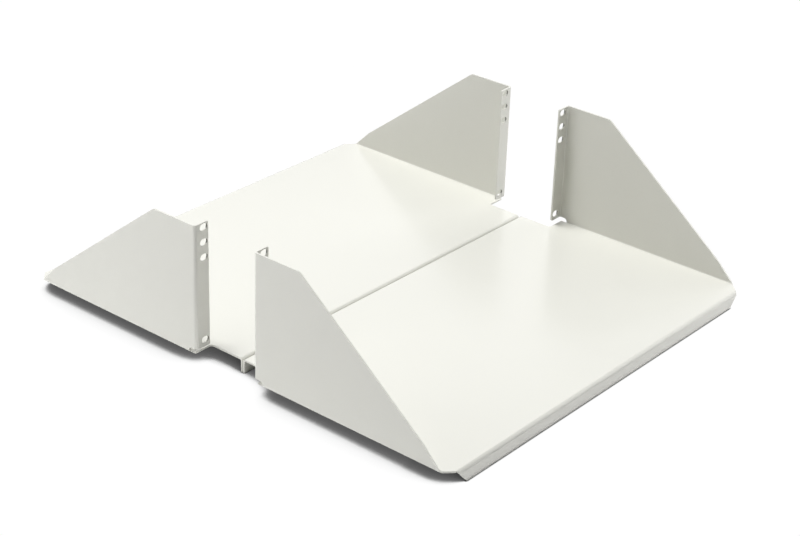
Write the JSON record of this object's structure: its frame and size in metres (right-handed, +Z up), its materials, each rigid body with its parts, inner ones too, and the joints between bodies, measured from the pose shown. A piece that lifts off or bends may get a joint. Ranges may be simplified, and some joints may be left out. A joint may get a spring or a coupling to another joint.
{
  "type": "double-sided rack shelf",
  "caption": "Folded sheet-metal shelf for a relay rack in a front and a rear half, with sloping side walls and slotted flanges that bolt to both faces of the posts.",
  "frame": {"origin": "middle of the seam between the halves, at the level of the lips' lower edges", "axes": "+X across the rack, +Y from the front half to the rear half, +Z up"},
  "size_m": [0.489, 0.552, 0.1524],
  "materials": {
    "powder_coat": "satin off-white powder coat"
  },
  "bodies": {
    "root": {"front_half": "powder_coat", "rear_half": "powder_coat"}
  },
  "joints": []
}
